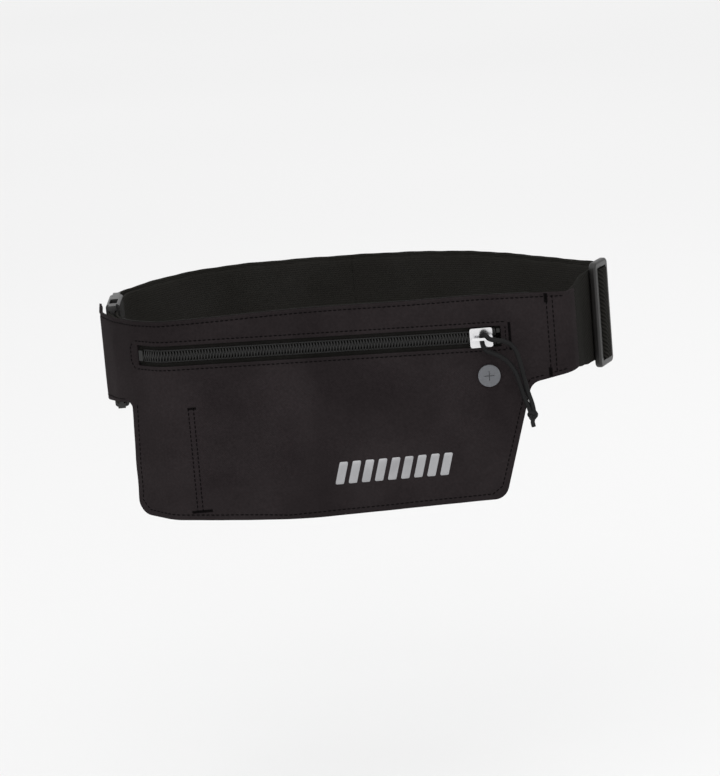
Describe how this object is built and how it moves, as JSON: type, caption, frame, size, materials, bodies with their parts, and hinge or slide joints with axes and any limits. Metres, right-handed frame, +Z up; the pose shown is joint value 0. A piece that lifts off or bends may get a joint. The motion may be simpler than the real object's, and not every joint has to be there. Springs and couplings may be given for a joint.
{
  "type": "waist pouch belt",
  "caption": "Slim zipped running pouch on a wide elastic waist belt with a webbing adjuster, side release buckle, cord zip pull and cable port.",
  "frame": {"origin": "centre of the waist loop at half the height of the band", "axes": "+X along the front panel to the adjuster's side, +Y from the front panel to the back of the loop, +Z up"},
  "size_m": [0.2793, 0.1832, 0.117],
  "materials": {
    "shell_fabric": "warm black stretch knit with a fine rib and a slight sheen",
    "lining_fabric": "matt black knit",
    "zip_tape": "black woven tape",
    "zip_teeth": "black moulded coil, semi gloss",
    "slider_metal": "bright nickel plated die casting",
    "cord": "black braided cord",
    "port_rubber": "soft grey-blue translucent rubber",
    "reflective_film": "silver reflective film",
    "thread": "black sewing thread",
    "elastic": "black ribbed elastic webbing",
    "dark_plastic": "dark grey acetal with a soft sheen"
  },
  "bodies": {
    "pouch": {"pouch_front_shell": "shell_fabric", "pouch_back_panel": "lining_fabric", "pocket_divider": "lining_fabric", "zip_tape_upper": "zip_tape", "zip_tape_lower": "zip_tape", "zip_coil_upper": "zip_teeth", "zip_coil_lower": "zip_teeth", "zip_top_stops": "zip_teeth", "zip_end_stop": "zip_teeth", "port_button": "port_rubber", "port_backing": "port_rubber", "reflective_segments": "reflective_film", "bartacks": "thread", "strap_outer_run": "elastic", "strap_inner_run": "elastic", "buckle_tab": "elastic", "buckle_socket": "dark_plastic"},
    "slider": {"zip_slider": "slider_metal"},
    "puller": {"pull_cord": "cord", "pull_knot": "cord"},
    "adjuster": {"adjuster_frame": "dark_plastic"},
    "plug": {"buckle_plug": "dark_plastic"},
    "arm_upper": {"buckle_arm_upper": "dark_plastic"},
    "arm_lower": {"buckle_arm_lower": "dark_plastic"}
  },
  "joints": [
    {"name": "zip_slide", "type": "slide", "parent": "pouch", "child": "slider", "axis": [0.9997, 0, -0.0236], "range_m": [-0.156, 0], "deforming": ["zip_tape_upper", "zip_tape_lower", "zip_coil_upper", "zip_coil_lower"]},
    {"name": "cord_swing", "type": "hinge", "parent": "slider", "child": "puller", "pos_m": [0.064, -0.0903, 0.002], "axis": [1, 0, 0], "range_deg": [-75, 0]},
    {"name": "strap_adjust", "type": "slide", "parent": "pouch", "child": "adjuster", "axis": [0.4067, 0.9135, 0], "range_m": [-0.018, 0], "deforming": ["strap_outer_run", "strap_inner_run"]},
    {"name": "buckle_release", "type": "slide", "parent": "pouch", "child": "plug", "axis": [0, 1, 0], "range_m": [0, 0.03], "deforming": ["strap_outer_run", "strap_inner_run", "buckle_arm_upper", "buckle_arm_lower"]},
    {"name": "squeeze_upper", "type": "hinge", "parent": "plug", "child": "arm_upper", "pos_m": [-0.1313, -0.0079, 0.0145], "axis": [1, 0, 0], "range_deg": [0, 10], "stiffness_Nm_per_rad": 0.6},
    {"name": "squeeze_lower", "type": "hinge", "parent": "plug", "child": "arm_lower", "pos_m": [-0.1313, -0.0079, -0.0145], "axis": [1, 0, 0], "range_deg": [-10, 0], "stiffness_Nm_per_rad": 0.6}
  ],
  "couplings": [
    {"joint": "squeeze_lower", "follows": "squeeze_upper", "ratio": -1}
  ]
}
